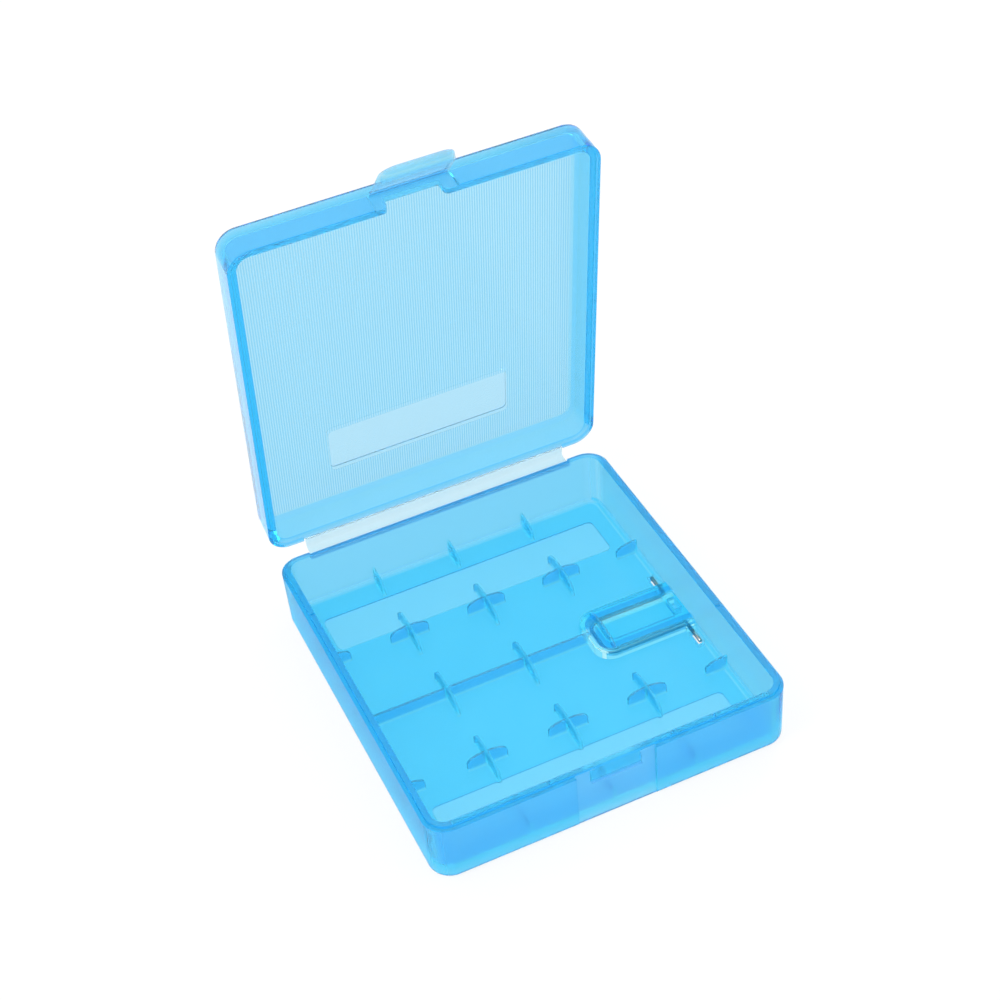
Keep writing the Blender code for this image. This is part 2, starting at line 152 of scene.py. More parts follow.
def settle(body):
    """Apply what modifiers the object has."""
    bpy.context.view_layer.update()
    graph = bpy.context.evaluated_depsgraph_get()
    mesh = bpy.data.meshes.new_from_object(body.evaluated_get(graph))
    body.modifiers.clear()
    old = body.data
    body.data = mesh
    bpy.data.meshes.remove(old)


def mark(thing, name, test):
    """Face attribute that a material reads. The test gets a face's centre in millimetres and its normal."""
    layer = thing.data.attributes.new(name, "FLOAT", "FACE")
    for face in thing.data.polygons:
        layer.data[face.index].value = float(test(face.center / mm, face.normal))


def smooth(body, degrees=34):
    """Smooth shading with creases kept and flat faces kept flat."""
    mesh = body.data
    bm = bmesh.new()
    bm.from_mesh(mesh)
    bmesh.ops.dissolve_degenerate(bm, dist=0.002 * mm, edges=bm.edges[:])
    for edge in bm.edges:
        if len(edge.link_faces) == 2:
            edge.smooth = edge.calc_face_angle(0) < math.radians(degrees)
    for face in bm.faces:
        face.smooth = True
    bm.to_mesh(mesh)
    bm.free()
    modifier = body.modifiers.new("normals", "WEIGHTED_NORMAL")
    modifier.keep_sharp = True
    modifier.weight = 80
    settle(body)


def fillet(inset, z, radius, steps):
    """Rings of a hollow corner where a wall meets a floor, from the wall down."""
    return [case_ring(inset + radius * (1 - math.cos(math.radians(90 * i / steps))),
                      z + radius * (1 - math.sin(math.radians(90 * i / steps)))) for i in range(steps + 1)]


# Tray


def tray_shell():
    """Wall, rim and floor."""
    rings = []
    for i in range(7):
        angle = math.radians(90 * i / 6)
        rings.append(case_ring(foot_inset + foot_round * (1 - math.sin(angle)),
                               foot_round * (1 - math.cos(angle))))
    r = edge_round
    rings.append(case_ring(0.02 * mm, ledge_z - r))
    for i in range(1, 4):
        angle = math.radians(30 * i)
        rings.append(case_ring(r * (1 - math.cos(angle)), ledge_z - r * (1 - math.sin(angle))))
    rings.append(case_ring(ledge_in - 0.05 * mm, ledge_z))
    rings.append(case_ring(ledge_in, ledge_z + 0.05 * mm))
    for i in range(4):
        angle = math.radians(30 * i)
        rings.append(case_ring(ledge_in + r * (1 - math.cos(angle)), lip_z - r * (1 - math.sin(angle))))
    for i in range(4):
        angle = math.radians(30 * i)
        rings.append(case_ring(wall - r * (1 - math.sin(angle)), lip_z - r * (1 - math.cos(angle))))
    rings += fillet(wall + 0.15 * mm, floor_z, 1.2 * mm, 6)
    bm = bmesh.new()
    stack(bm, rings)
    return make("tray", bm)


# Crest of a blade from its middle to its end: shares of the reach and of the height
long_shares = ((0.0, 1.0), (0.2, 0.998), (0.35, 0.985), (0.48, 0.96), (0.60, 0.92), (0.70, 0.87),
               (0.80, 0.80), (0.88, 0.73), (0.93, 0.67), (0.97, 0.61), (1.0, 0.54))
cross_shares = ((0.0, 1.0), (0.15, 0.998), (0.30, 0.98), (0.45, 0.955), (0.55, 0.93), (0.66, 0.89),
                (0.75, 0.84), (0.84, 0.785), (0.90, 0.73), (0.96, 0.66), (1.0, 0.57))

# Reach and height of the blades: free ones along Y and X, then those at the walls
long_blade, cross_blade = (5.85 * mm, 3.9 * mm), (4.3 * mm, 3.6 * mm)
long_end, cross_end = (5.8 * mm, 3.8 * mm), (4.9 * mm, 3.4 * mm)
blade_root = 0.6 * mm
foot_half, thinning = 0.42, 0.17


def blade(bm, at, axis, size, shares, sides):
    """One divider blade, thick at the foot and thin at its arched crest. Sides are the ways it runs."""
    reach, crest = size
    points = []
    if -1 in sides:
        points += [(-reach, -blade_root)] + [(-s * reach, h * crest) for s, h in reversed(shares)]
    else:
        points += [(-blade_root, -blade_root), (-blade_root, crest)]
    if 1 in sides:
        start = 1 if -1 in sides else 0
        points += [(s * reach, h * crest) for s, h in shares[start:]] + [(reach, -blade_root)]
    else:
        points += [(blade_root, crest), (blade_root, -blade_root)]
    layers = []
    for side in (-1, 1):
        layer = []
        for u, h in points:
            half = (foot_half - thinning * max(h, 0) / crest) * mm
            x, y = (u, side * half) if axis == "X" else (-side * half, u)
            layer.append(Vector((at[0] + x, at[1] + y, floor_z + h)))
        layers.append(layer)
    stack(bm, layers)


def middle_rib(bm, wall_x):
    """Low rib along the middle line, from the left wall to the cover over the wire."""
    left, right = -wall_x - 0.5 * mm, 14.8 * mm
    low, high = floor_z - blade_root, floor_z + 3.0 * mm
    layers = []
    for y in (-1, 1):
        foot, head = 0.42 * mm * y, 0.3 * mm * y
        layers.append([Vector((left, foot, low)), Vector((right, foot, low)),
                       Vector((right, head, high)), Vector((left, head, high))])
    stack(bm, layers)


def dividers(which):
    """All blades along one axis, and with those along X the middle rib."""
    bm = bmesh.new()
    for c in (-1, 0, 1):
        for r in (-1, 0, 1):
            at = (c * column_pitch, r * row_pitch)
            if which == "Y":
                blade(bm, at, "Y", long_blade, long_shares, (-1, 1))
            elif r:
                blade(bm, at, "X", cross_blade, cross_shares, (-1, 1))
    inner_y, inner_x = half_y - wall - 0.1 * mm, half_x - wall - 0.1 * mm
    if which == "Y":
        for c in (-1, 0, 1):
            blade(bm, (c * column_pitch, -inner_y), "Y", long_end, long_shares, (1,))
            blade(bm, (c * column_pitch, inner_y), "Y", long_end, long_shares, (-1,))
    else:
        for r in (-1, 1):
            blade(bm, (-inner_x, r * row_pitch), "X", cross_end, cross_shares, (1,))
            blade(bm, (inner_x, r * row_pitch), "X", cross_end, cross_shares, (-1,))
        middle_rib(bm, inner_x)
    return make("dividers", bm)


def u_outline(tip, half, right, radius):
    """Outline with round corners at its left end."""
    x, y = tip + radius, half - radius
    return ([(right, -half), (right, half)] + arc(x, y, radius, 90, 180, 14)
            + arc(x, -y, radius, 180, 270, 14))


def solid(outline, axis, low, high):
    """Prism as an object, to be joined to a body or cut from it."""
    bm = bmesh.new()
    prism(bm, outline, axis, low, high)
    return make("tool", bm)


# Cover over the bail: outline at its top, and how far each level stands in from it
cover_tip, cover_half, cover_right, cover_round = 14.1 * mm, 6.7 * mm, 36.6 * mm, 3.9 * mm
cover_levels = ((-0.12, 1.0), (-0.12, 1.7), (0.0, 3.2), (0.08, 3.45), (0.3, 3.6))
cut_low, cut_high = -2 * mm, 9 * mm


def boss():
    """Cover over the bail's channel, with drawn-in sides and a rounded top edge."""
    rings = []
    for inset, z in cover_levels:
        outline = u_outline(cover_tip + inset * mm, cover_half - inset * mm, cover_right,
                            cover_round - inset * mm)
        rings.append([Vector((x, y, z * mm)) for x, y in outline])
    bm = bmesh.new()
    stack(bm, rings)
    return make("boss", bm)


def sunk_middle():
    """Field inside the bail's loop, which lies lower than the cover."""
    return solid(u_outline(17.8 * mm, 3.2 * mm, 33.0 * mm, 1.7 * mm), "Z", 2.9 * mm, cut_high)


def bail_cutters():
    """What the bail needs cut out of the tray: channel, slots and bearings for its ends, window."""
    channel_right, channel_top = 36.7 * mm, 3.3 * mm
    outer = u_outline(15.0 * mm, 5.3 * mm, channel_right, 3.1 * mm)
    inner = u_outline(17.1 * mm, 3.9 * mm, channel_right, 1.7 * mm)
    channel = outer[1:] + [outer[0]] + [inner[0]] + list(reversed(inner[1:]))
    cuts = [solid(channel, "Z", cut_low, channel_top)]
    bearing_r, bearing_end = 0.5 * mm, 7.8 * mm
    for side in (-1, 1):
        slot = sorted((side * 7.2 * mm, side * 11.3 * mm))
        cuts.append(solid(box(34.05 * mm, 35.55 * mm, *slot), "Z", cut_low, cut_high))
        hole = arc(pivot_x, wire_z, bearing_r, 0, 360, 32)[:-1]
        low, high = sorted((side * leg_y, side * bearing_end))
        cuts.append(solid(hole, "Y", low, high))
    cuts.append(solid(box(33.65 * mm, 35.35 * mm, -1.7 * mm, 1.7 * mm), "Z", 1.0 * mm, cut_high))
    return cuts


def add_lugs(tray):
    """Lugs beside the cover that hold the ends of the wire."""
    low, high = 1.0 * mm, 2.8 * mm
    for side in (-1, 1):
        edges = sorted((side * 6.1 * mm, side * 7.2 * mm))
        join(tray, solid(box(33.5 * mm, cover_right, *edges), "Z", low, high), "UNION")


def add_catch(tray):
    """Recess in the front wall, with the grooved catch that the latch's hook grips."""
    recess = solid(box(-recess_half, recess_half, -far_y, recess_y), "Z", far_down, 20 * mm)
    join(tray, recess, "DIFFERENCE")
    groove = 0.36 * mm
    face, root = -41.65 * mm, -40.3 * mm
    foot, top = 11.0 * mm, 13.9 * mm
    catch_half = 5.3 * mm
    catch = [(root, foot), (face, foot), (face, foot + groove), (face + groove, foot + 2 * groove),
             (face, foot + 3 * groove), (face, foot + 5 * groove), (recess_y, top), (root, top)]
    join(tray, solid(catch, "X", -catch_half, catch_half), "UNION")


def cut_nicks(tray):
    """Shallow nicks in the rim's lip, three in front and one on each side. Places are in millimetres."""
    half, bottom, top = 0.25, 14.35 * mm, 16 * mm
    for x in (-13.5, 12.4, 21.5):
        nick = box((x - half) * mm, (x + half) * mm, -40.7 * mm, -38 * mm)
        join(tray, solid(nick, "Z", bottom, top), "DIFFERENCE")
    for low, high, y in ((-37.0, -35, 23.0), (35, 37.0, -15.0)):
        nick = box(low * mm, high * mm, (y - half) * mm, (y + half) * mm)
        join(tray, solid(nick, "Z", bottom, top), "DIFFERENCE")


def cut_pads(tray):
    """Two shallow fields sunk in the underside."""
    pad_y, depth = 29.2 * mm, 0.3 * mm
    for side in (-1, 1):
        outline = [(x, y + side * pad_y) for x, y in rounded(32 * mm, 5.1 * mm, 1.2 * mm, 6)]
        join(tray, solid(outline, "Z", far_down, depth), "DIFFERENCE")


def make_tray():
    """The tray as one closed body."""
    tray = tray_shell()
    join(tray, boss(), "UNION")
    join(tray, sunk_middle(), "DIFFERENCE")
    add_lugs(tray)
    join(tray, dividers("Y"), "UNION")
    join(tray, dividers("X"), "UNION")
    add_catch(tray)
    for cut in bail_cutters():
        join(tray, cut, "DIFFERENCE")
    cut_nicks(tray)
    cut_pads(tray)
    seat_y, seat_z = 40.45 * mm, 13.1 * mm
    seat = solid(box(-seat_half, seat_half, seat_y, far_y), "Z", seat_z, 20 * mm)
    join(tray, seat, "DIFFERENCE")
    return tray


# Lid, built as shut


def lid_shell():
    """Panel, wall and rebated rim."""
    rings = []
    for i in range(7):
        angle = math.radians(90 * i / 6)
        rings.append(case_ring(foot_inset + foot_round * (1 - math.sin(angle)),
                               lid_top - foot_round * (1 - math.cos(angle))))
    r = edge_round
    for i in range(4):
        angle = math.radians(30 * i)
        rings.append(case_ring(r * (1 - math.cos(angle)), lid_rim + r * (1 - math.sin(angle))))
    rings.append(case_ring(0.7 * mm, lid_rim))
    rings.append(case_ring(0.72 * mm, lid_land - 0.04 * mm))
    rings.append(case_ring(0.78 * mm, lid_land))
    for i in range(4):
        angle = math.radians(30 * i)
        rings.append(case_ring(wall - r * (1 - math.sin(angle)), lid_land + r * (1 - math.cos(angle))))
    inner_round = 1.0 * mm
    for i in range(7):
        angle = math.radians(15 * i)
        inset = wall + 0.1 * mm + inner_round * (1 - math.cos(angle))
        rings.append(case_ring(inset, lid_top - panel - inner_round * (1 - math.sin(angle))))
    bm = bmesh.new()
    stack(bm, rings)
    return make("lid", bm)


def make_lid():
    """The lid as one closed body."""
    lid = lid_shell()
    below = 10 * mm
    recess = solid(box(-recess_half, recess_half, -far_y, recess_y), "Z", below, 19.2 * mm)
    join(lid, recess, "DIFFERENCE")
    mouth, flare = 7.0 * mm, 1.3 * mm
    notch_x, notch_z, notch_round = 5.4 * mm, 17.8 * mm, 0.3 * mm
    right = arc(mouth, lid_land + flare, flare, 270, 180, 12)
    notch = [(-mouth, below), (mouth, below)] + right
    notch += arc(notch_x, notch_z, notch_round, 0, 90, 4) + arc(-notch_x, notch_z, notch_round, 90, 180, 4)
    notch += [(-x, z) for x, z in reversed(right)]
    join(lid, solid(notch, "Y", -far_y, -39.2 * mm), "DIFFERENCE")
    label_y, label_out, label_in = 25.2 * mm, 0.2 * mm, 0.03 * mm
    label = [(x, y + label_y) for x, y in rounded(20.5 * mm, 5.9 * mm, 1.2 * mm, 8)]
    join(lid, solid(label, "Z", lid_top - label_out, far_up), "DIFFERENCE")
    join(lid, solid(label, "Z", 20 * mm, lid_top - panel + label_in), "DIFFERENCE")
    seat = solid(box(-seat_half, seat_half, 40.9 * mm, far_y), "Z", below, lid_land)
    join(lid, seat, "DIFFERENCE")
    return lid


# Latch flap, built hanging straight down from its axis


def flap_ring(half, length, y, radius):
    """Outline of the flap at one depth, with two round corners at its free end."""
    x, z = half - radius, radius - length
    head = -0.3 * mm
    points = [(half, head), (-half, head)]
    points += arc(-x, z, radius, 180, 270, 16) + arc(x, z, radius, 270, 360, 16)
    return [Vector((px, y, pz)) for px, pz in points]


def make_flap():
    """Flap with its bevelled lip, hook and raised side rails."""
    bm = bmesh.new()
    stack(bm, [flap_ring(7.5 * mm, 11.9 * mm, -0.8 * mm, 3.3 * mm),
               flap_ring(7.6 * mm, 12.0 * mm, -0.68 * mm, 3.4 * mm),
               flap_ring(7.62 * mm, 12.0 * mm, -0.55 * mm, 3.4 * mm),
               flap_ring(8.1 * mm, 9.55 * mm, -0.06 * mm, 3.2 * mm),
               flap_ring(8.0 * mm, 9.45 * mm, 0.0, 3.1 * mm)])
    flap = make("flap", bm)
    hook_half, hook_root, hook_out = 7.2 * mm, -0.4 * mm, 0.75 * mm
    hook = [(hook_root, -7.8 * mm), (0.67 * mm, -7.8 * mm), (hook_out, -7.88 * mm), (hook_out, -8.35 * mm),
            (0.7 * mm, -8.5 * mm), (hook_root, -10.05 * mm)]
    join(flap, solid(hook, "X", -hook_half, hook_half), "UNION")
    field_half, past = 7.1 * mm, 3 * mm
    thin = solid(box(-0.3 * mm, past, -2.7 * mm, 1 * mm), "X", -field_half, field_half)
    thin_low = solid(box(-0.14 * mm, past, -7.0 * mm, -3.1 * mm), "X", -field_half, field_half)
    join(flap, thin, "DIFFERENCE")
    join(flap, thin_low, "DIFFERENCE")
    return flap


# Flexible pieces


def sheet(name, rows, half_widths, thickness):
    """Thin sheet through rows of (y, z), with a half width at each row."""
    top, bottom = [], []
    for i, (y, z) in enumerate(rows):
        before, after = rows[max(i - 1, 0)], rows[min(i + 1, len(rows) - 1)]
        along = Vector((after[0] - before[0], after[1] - before[1])).normalized()
        n = Vector((-along.y, along.x)) * thickness[i] / 2
        top.append((y + n.x, z + n.y))
        bottom.append((y - n.x, z - n.y))
    outline = top + list(reversed(bottom))
    widths = list(half_widths) + list(reversed(half_widths))
    bm = bmesh.new()
    count = 24
    rings = []
    for k in range(count + 1):
        share = -1 + 2 * k / count
        rings.append([Vector((share * w, y, z)) for (y, z), w in zip(outline, widths)])
    stack(bm, rings)
    return make(name, bm)


def turned(place, points):
    """Points (y, z) of a piece, given as (y, z) after its placement."""
    moved = [place @ Vector((0, y, z)) for y, z in points]
    return [(p.y, p.z) for p in moved]


def make_strap():
    """Film hinge from the tray's seat over the fold line to the lid's seat, as it lies at rest."""
    tray_seat, lid_seat = 13.62 * mm, 14.38 * mm
    rows = [(40.55 * mm, tray_seat), (41.9 * mm, tray_seat), (42.5 * mm, 13.68 * mm), (42.9 * mm, 13.8 * mm)]
    rows += [(43.2 * mm, 13.93 * mm), (43.42 * mm, 14.1 * mm)]
    rows += turned(lid_place, [(43.2 * mm, 14.07 * mm), (42.9 * mm, 14.2 * mm), (42.5 * mm, 14.32 * mm),
                               (41.9 * mm, lid_seat), (41.2 * mm, lid_seat)])
    thick = [0.45 * mm, 0.45 * mm, 0.4 * mm, 0.3 * mm, 0.25 * mm, 0.22 * mm, 0.25 * mm, 0.3 * mm, 0.4 * mm,
             0.45 * mm, 0.45 * mm]
    return sheet("strap", rows, [strap_half] * len(rows), thick)


def make_film():
    """Film that the latch flap bends on."""
    film_half = 7.9 * mm
    rows = turned(lid_place, [(-41.1 * mm, 18.95 * mm), (-41.5 * mm, 18.9 * mm), (-41.75 * mm, 18.75 * mm),
                              (-41.95 * mm, 18.55 * mm)])
    rows += turned(flap_place, [(-0.4 * mm, -0.15 * mm), (-0.45 * mm, -0.5 * mm)])
    thick = [0.4 * mm, 0.35 * mm, 0.3 * mm, 0.28 * mm, 0.3 * mm, 0.4 * mm]
    return sheet("latch_film", rows, [film_half] * len(rows), thick)


def make_bail():
    """Round wire with soft ends."""
    tip = tip_x - pivot_x
    loop_r, elbow_r = 2.4 * mm, 0.7 * mm
    loop = arc(tip + loop_r, leg_y - loop_r, loop_r, 90, 180, 16)
    elbow = arc(-elbow_r, leg_y + elbow_r, elbow_r, 0, -90, 12)
    half = [(0, 10.8 * mm), (0, 10.72 * mm), (0, 8.5 * mm)] + elbow + [(-9 * mm, leg_y)] + loop
    path = half + [(x, -y) for x, y in reversed(half)]
    turn = [2 * math.pi * k / 24 for k in range(24)]
    rings = []
    for i, (x, y) in enumerate(path):
        before, after = path[max(i - 1, 0)], path[min(i + 1, len(path) - 1)]
        along = Vector((after[0] - before[0], after[1] - before[1])).normalized()
        r = wire_r if 0 < i < len(path) - 1 else wire_r * 0.8
        rings.append([Vector((pivot_x + x - along.y * r * math.cos(a), y + along.x * r * math.cos(a),
                              wire_z + r * math.sin(a))) for a in turn])
    bm = bmesh.new()
    stack(bm, rings)
    return make("bail", bm)


# Materials


def nodes_of(name):
    """New material with its node tree and main shader."""
    material = bpy.data.materials.new(name)
    material.use_nodes = True
    tree = material.node_tree
    return material, tree, tree.nodes["Principled BSDF"]


def link(tree, a, out, b, into):
    """Link from a named output to a named input."""
    tree.links.new(a.outputs[out], b.inputs[into])


def node(tree, kind, **values):
    """New node with some inputs set."""
    made = tree.nodes.new(kind)
    for key, value in values.items():
        if key in made.inputs:
            made.inputs[key].default_value = value
        else:
            setattr(made, key, value)
    return made


# Painted shade: a darker tint laid on rims, rounded edges and the latch's hook.
edge_shade_tint = (0.15, 0.70, 1, 1)
# Painted shade: darker stripes for the shaded sides of the lid's fine ribs.
rib_shade_tint = (0.40, 0.77, 0.94, 1)
rib_pitch = 0.52 * mm


def plastic(name, tint, lit_tint, absorb, density, rough, ribs=False):
    """Translucent moulded plastic: tinted, slightly cloudy, darker where light goes through more of it.

    Face attributes: "clear" thins and polishes it, or dulls it where negative, "painted_light" moves its tint
    to the lighter lit_tint as painted light, "edge_shade" multiplies in painted shade, and "ribbed" draws the
    lid's fine ribs as painted shade stripes.
    """
    material, tree, shader = nodes_of(name)
    shader.inputs["IOR"].default_value = 1.2
    shader.inputs["Transmission Weight"].default_value = 0.9
    see = node(tree, "ShaderNodeMapRange")
    see.inputs["To Min"].default_value = 1.0
    see.inputs["To Max"].default_value = 0.2
    window = node(tree, "ShaderNodeAttribute", attribute_name="clear")
    link(tree, window, "Fac", see, "Value")
    link(tree, see, "Result", shader, "Alpha")
    place = node(tree, "ShaderNodeTexCoord")
    cloud = node(tree, "ShaderNodeTexNoise", Scale=90.0, Detail=3.0)
    link(tree, place, "Object", cloud, "Vector")
    fine = node(tree, "ShaderNodeTexNoise", Scale=1400.0, Detail=4.0)
    link(tree, place, "Object", fine, "Vector")
    ramp = node(tree, "ShaderNodeMapRange")
    ramp.inputs["To Min"].default_value = rough - 0.03
    ramp.inputs["To Max"].default_value = rough + 0.05
    link(tree, fine, "Fac", ramp, "Value")
    polish = node(tree, "ShaderNodeMapRange")
    polish.inputs["From Min"].default_value = -1.0
    polish.inputs["To Min"].default_value = 2.6
    polish.inputs["To Max"].default_value = 0.25
    link(tree, window, "Fac", polish, "Value")
    gloss = node(tree, "ShaderNodeMath", operation="MULTIPLY")
    link(tree, ramp, "Result", gloss, 0)
    link(tree, polish, "Result", gloss, 1)
    link(tree, gloss, "Value", shader, "Roughness")
    colour = node(tree, "ShaderNodeMix", data_type="RGBA")
    colour.inputs["A"].default_value = tint
    colour.inputs["B"].default_value = (tint[0] * 0.86, tint[1] * 0.95, tint[2], 1)
    link(tree, cloud, "Fac", colour, "Factor")
    # Painted light: a lighter tint on the faces that are marked for it.
    light_mark = node(tree, "ShaderNodeAttribute", attribute_name="painted_light")
    painted_light = node(tree, "ShaderNodeMix", data_type="RGBA")
    painted_light.inputs["B"].default_value = lit_tint
    link(tree, light_mark, "Fac", painted_light, "Factor")
    tree.links.new(colour.outputs[2], painted_light.inputs["A"])
    # Painted shade on the rims, rounded edges and the hook, multiplied into the colour.
    line = node(tree, "ShaderNodeAttribute", attribute_name="edge_shade")
    last = node(tree, "ShaderNodeMix", data_type="RGBA")
    last.blend_type = "MULTIPLY"
    last.inputs["B"].default_value = edge_shade_tint
    link(tree, line, "Fac", last, "Factor")
    tree.links.new(painted_light.outputs[2], last.inputs["A"])
    bump = node(tree, "ShaderNodeBump", Strength=0.08, Distance=0.00002)
    link(tree, fine, "Fac", bump, "Height")
    link(tree, bump, "Normal", shader, "Normal")
    # Painted shade stripes for the fine ribs on the panel's inner face.
    if ribs:
        wave = node(tree, "ShaderNodeTexWave", Scale=2 * math.pi / (20 * rib_pitch), Distortion=0.0)
        link(tree, place, "Object", wave, "Vector")
        where = node(tree, "ShaderNodeAttribute", attribute_name="ribbed")
        share = node(tree, "ShaderNodeMath", operation="MULTIPLY")
        link(tree, wave, "Fac", share, 0)
        link(tree, where, "Fac", share, 1)
        striped = node(tree, "ShaderNodeMix", data_type="RGBA")
        striped.blend_type = "MULTIPLY"
        striped.inputs["B"].default_value = rib_shade_tint
        link(tree, share, "Value", striped, "Factor")
        tree.links.new(last.outputs[2], striped.inputs["A"])
        last = striped
    tree.links.new(last.outputs[2], shader.inputs["Base Color"])
    inside = node(tree, "ShaderNodeVolumeAbsorption", Color=absorb, Density=density)
    tree.links.new(inside.outputs[0], tree.nodes["Material Output"].inputs["Volume"])
    return material


def steel():
    """Drawn wire, uneven along its length, with painted shade where "ends" marks it."""
    material, tree, shader = nodes_of("drawn_wire")
    shader.inputs["Metallic"].default_value = 1.0
    place = node(tree, "ShaderNodeTexCoord")
    noise = node(tree, "ShaderNodeTexNoise", Scale=900.0, Detail=4.0)
    link(tree, place, "Object", noise, "Vector")
    colour = node(tree, "ShaderNodeMix", data_type="RGBA")
    colour.inputs["A"].default_value = (0.74, 0.73, 0.68, 1)
    colour.inputs["B"].default_value = (0.60, 0.59, 0.55, 1)
    link(tree, noise, "Fac", colour, "Factor")
    # Painted shade: the wire's ends darker than its legs.
    end_shade = node(tree, "ShaderNodeMix", data_type="RGBA")
    end_shade.inputs["B"].default_value = (0.42, 0.41, 0.38, 1)
    ends = node(tree, "ShaderNodeAttribute", attribute_name="ends")
    link(tree, ends, "Fac", end_shade, "Factor")
    tree.links.new(colour.outputs[2], end_shade.inputs["A"])
    tree.links.new(end_shade.outputs[2], shader.inputs["Base Color"])
    ramp = node(tree, "ShaderNodeMapRange")
    ramp.inputs["To Min"].default_value = 0.12
    ramp.inputs["To Max"].default_value = 0.24
    link(tree, noise, "Fac", ramp, "Value")
    link(tree, ramp, "Result", shader, "Roughness")
    return material


def paint(thing, material):
    """The object's one material."""
    thing.data.materials.clear()
    thing.data.materials.append(material)


# The tray, lid and strap are one plastic. The tray's deeper tint and absorption are painted shade, for its
# floor, which light crosses down to the table and back. The strap's paler ones are painted light, for the
# light through its thin film.
tray_mat = plastic("tray_pp", tint=(0.18, 0.69, 1.0, 1), lit_tint=(0.64, 0.80, 1.0, 1),
                   absorb=(0.07, 0.955, 1.0, 1), density=330.0, rough=0.15)
lid_mat = plastic("lid_pp", tint=(0.50, 0.81, 1.0, 1), lit_tint=(0.79, 0.89, 1.0, 1),
                  absorb=(0.07, 0.88, 1.0, 1), density=300.0, rough=0.08, ribs=True)
strap_mat = plastic("strap_pp", tint=(0.74, 0.93, 1.0, 1), lit_tint=(0.9, 0.97, 1.0, 1),
                    absorb=(0.2, 0.92, 1.0, 1), density=110.0, rough=0.15)
wire_mat = steel()

# Where the plastic changes its look. Lengths are in millimetres here, and the tests take a face's centre and
# normal. A normal's share along Z is under upright or steep on standing faces and over level or flat on lying
# ones. Over facing, a normal points along the axis that is tested.

upright, steep, level = 0.5, 0.85, 0.97
flat, facing = 0.99, 0.9
ceiling = (lid_top - panel) / mm
lid_rim_top, lid_edge_z = 15.06, 21.2
cover_z, cover_x, cover_y = (1.0, 3.7), 13.5, 7.9
rim_z, rim_depth, foot_depth = 14.6, 0.65, 12.9


def lid_edge_shade(c, n):
    """Painted shade on the rim's faces, most on upright ones, and on the round of the lid's edge."""
    if c.z < lid_rim_top:
        return 0.9 if abs(n.z) < steep else 0.3
    outside = abs(c.x) > 36 or abs(c.y) > 39.7
    return 0.6 if c.z > lid_edge_z and abs(n.z) < level and outside else 0.0


def lid_clear(c, n):
    """The round of the lid's edge, a little clearer than its flat faces."""
    return 0.35 if c.z > lid_edge_z and 0.05 < abs(n.z) < level else 0.0


def lid_ribbed(c, n):
    """The panel's inner face without the label's field."""
    return n.z < -flat and abs(c.z - ceiling) < 0.01


def lid_painted_light(c, n):
    """Painted light on both flat faces of the panel."""
    return abs(n.z) > flat and c.z > ceiling - 0.01


def part_of_cover(c, n):
    """Which region of the cover over the wire a face belongs to, if any."""
    if c.x < cover_x or abs(c.y) > cover_y or c.z < cover_z[0] or c.z > cover_z[1]:
        return None
    if abs(c.y) < 2.5 and c.x > 18:
        return "middle"
    return "side" if abs(n.z) < upright and (c.x < 14.8 or abs(c.y) > 6.0) else "cover"


def tray_clear(c, n):
    """Clear cover over the wire, half clear catch and blades, matt outer walls and rim."""
    region = part_of_cover(c, n)
    if region:
        return 1.0 if region == "cover" else 0.0
    on_catch = abs(c.x) < 5.4 and c.y < -40.2 and c.z > 10.9
    if on_catch:
        return 0.6
    on_blades = 1.7 < c.z < 5.8 and abs(c.x) < 35.8 and abs(c.y) < 39.5
    if on_blades:
        return 0.3
    outside = abs(c.x) > 37.5 or abs(c.y) > 40.8
    on_rim = c.z > 13.8
    return -1.0 if (outside and abs(n.z) < upright) or on_rim else 0.0


def tray_painted_light(c, n):
    """Painted light: none on the floor, which stays deepest, and most on its pads, the right wall's inner
    face and the front recess.
    """
    region = part_of_cover(c, n)
    if region:
        return 0.8 if region == "cover" else 0.0
    on_floor = abs(n.z) > facing and c.z < 1.7
    if on_floor:
        return 1.0 if 0.2 < c.z < 0.4 else 0.0
    if n.x < -facing and c.x > 35:
        return 1.0
    if n.y < -facing and c.y > 38:
        return 0.7
    if c.z < 6:
        return 0.0 if abs(n.x) > upright else 0.6
    in_recess = n.y < -facing and c.y < -40.8 and abs(c.x) < 8.3
    return 1.0 if in_recess else 0.6


def tray_edge_shade(c, n):
    """Painted shade on the rim's faces, most on upright ones, and on the round of the tray's foot."""
    depth = rim_z - c.z
    if depth < rim_depth:
        return 0.9 if abs(n.z) < steep else 0.3
    outside = abs(c.x) > 36.2 or abs(c.y) > 39.9
    return 0.35 if depth > foot_depth and outside and 0.05 < abs(n.z) < level else 0.0


def flap_edge_shade(c, n):
    """Painted shade on the hook's sides and on the bevelled end."""
    return 1.0 if (c.y > 0.05 and abs(n.y) < facing) or c.z < -9.9 else 0.0


# Pieces

tray = make_tray()
smooth(tray)
lid = make_lid()
smooth(lid)
mark(lid, "edge_shade", lid_edge_shade)
mark(lid, "ribbed", lid_ribbed)
mark(lid, "clear", lid_clear)
mark(lid, "painted_light", lid_painted_light)
mark(tray, "edge_shade", tray_edge_shade)
mark(tray, "painted_light", tray_painted_light)
mark(tray, "clear", tray_clear)
paint(lid, lid_mat)
lid.data.transform(lid_place)
flap = make_flap()
smooth(flap)
# Painted light over the whole flap.
mark(flap, "painted_light", lambda c, n: 1.0)
mark(flap, "clear", lambda c, n: 0.75)
mark(flap, "edge_shade", flap_edge_shade)
flap.data.transform(flap_place)
bend_crease = 50
strap = make_strap()
smooth(strap, bend_crease)
film = make_film()
smooth(film, bend_crease)
bail = make_bail()
smooth(bail, bend_crease)
